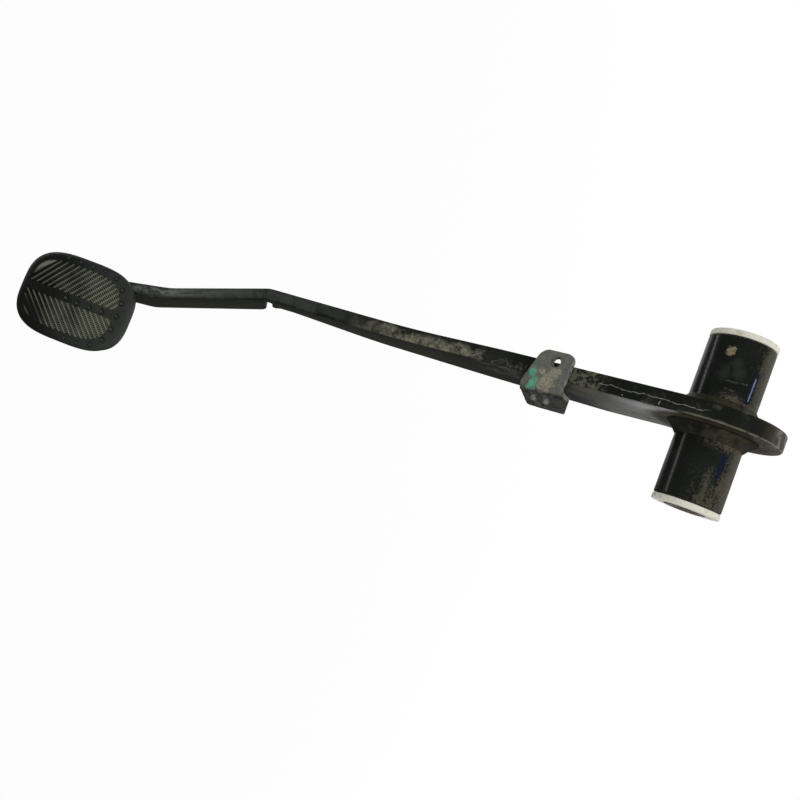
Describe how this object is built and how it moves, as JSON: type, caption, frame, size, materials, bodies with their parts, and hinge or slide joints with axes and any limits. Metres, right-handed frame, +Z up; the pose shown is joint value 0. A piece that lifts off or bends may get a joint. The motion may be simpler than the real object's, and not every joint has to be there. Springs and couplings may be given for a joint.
{
  "type": "brake pedal",
  "caption": "Hanging brake pedal: plate arm with a pivot tube on plastic bushes, a switch and pushrod bracket, and a ribbed rubber pad.",
  "frame": {"origin": "on the pivot axis, midway along the pivot tube", "axes": "+X along the pivot axis towards the bracket's web, +Z up, the pad hanging towards -Z and the driver sitting towards -Y"},
  "size_m": [0.1009, 0.0765, 0.4125],
  "materials": {
    "black_paint": "gloss black paint, worn and dusty",
    "black_rubber": "moulded rubber, worn smooth at the lower end",
    "cream_plastic": "matt cream plastic",
    "bare_steel": "turned steel, dulled"
  },
  "bodies": {
    "sleeve": {"spacer_sleeve": "bare_steel"},
    "pedal": {"pedal_arm": "black_paint", "pivot_tube": "black_paint", "eye_weld_left": "black_paint", "eye_weld_right": "black_paint", "foot_plate": "black_paint", "foot_weld": "black_paint", "switch_bracket": "black_paint", "bracket_weld": "black_paint", "pad_rubber": "black_rubber", "bush_left": "cream_plastic", "bush_right": "cream_plastic"}
  },
  "joints": [
    {"name": "pedal_swing", "type": "hinge", "parent": "sleeve", "child": "pedal", "pos_m": [0, 0, 0], "axis": [1, 0, 0], "continuous": true}
  ]
}
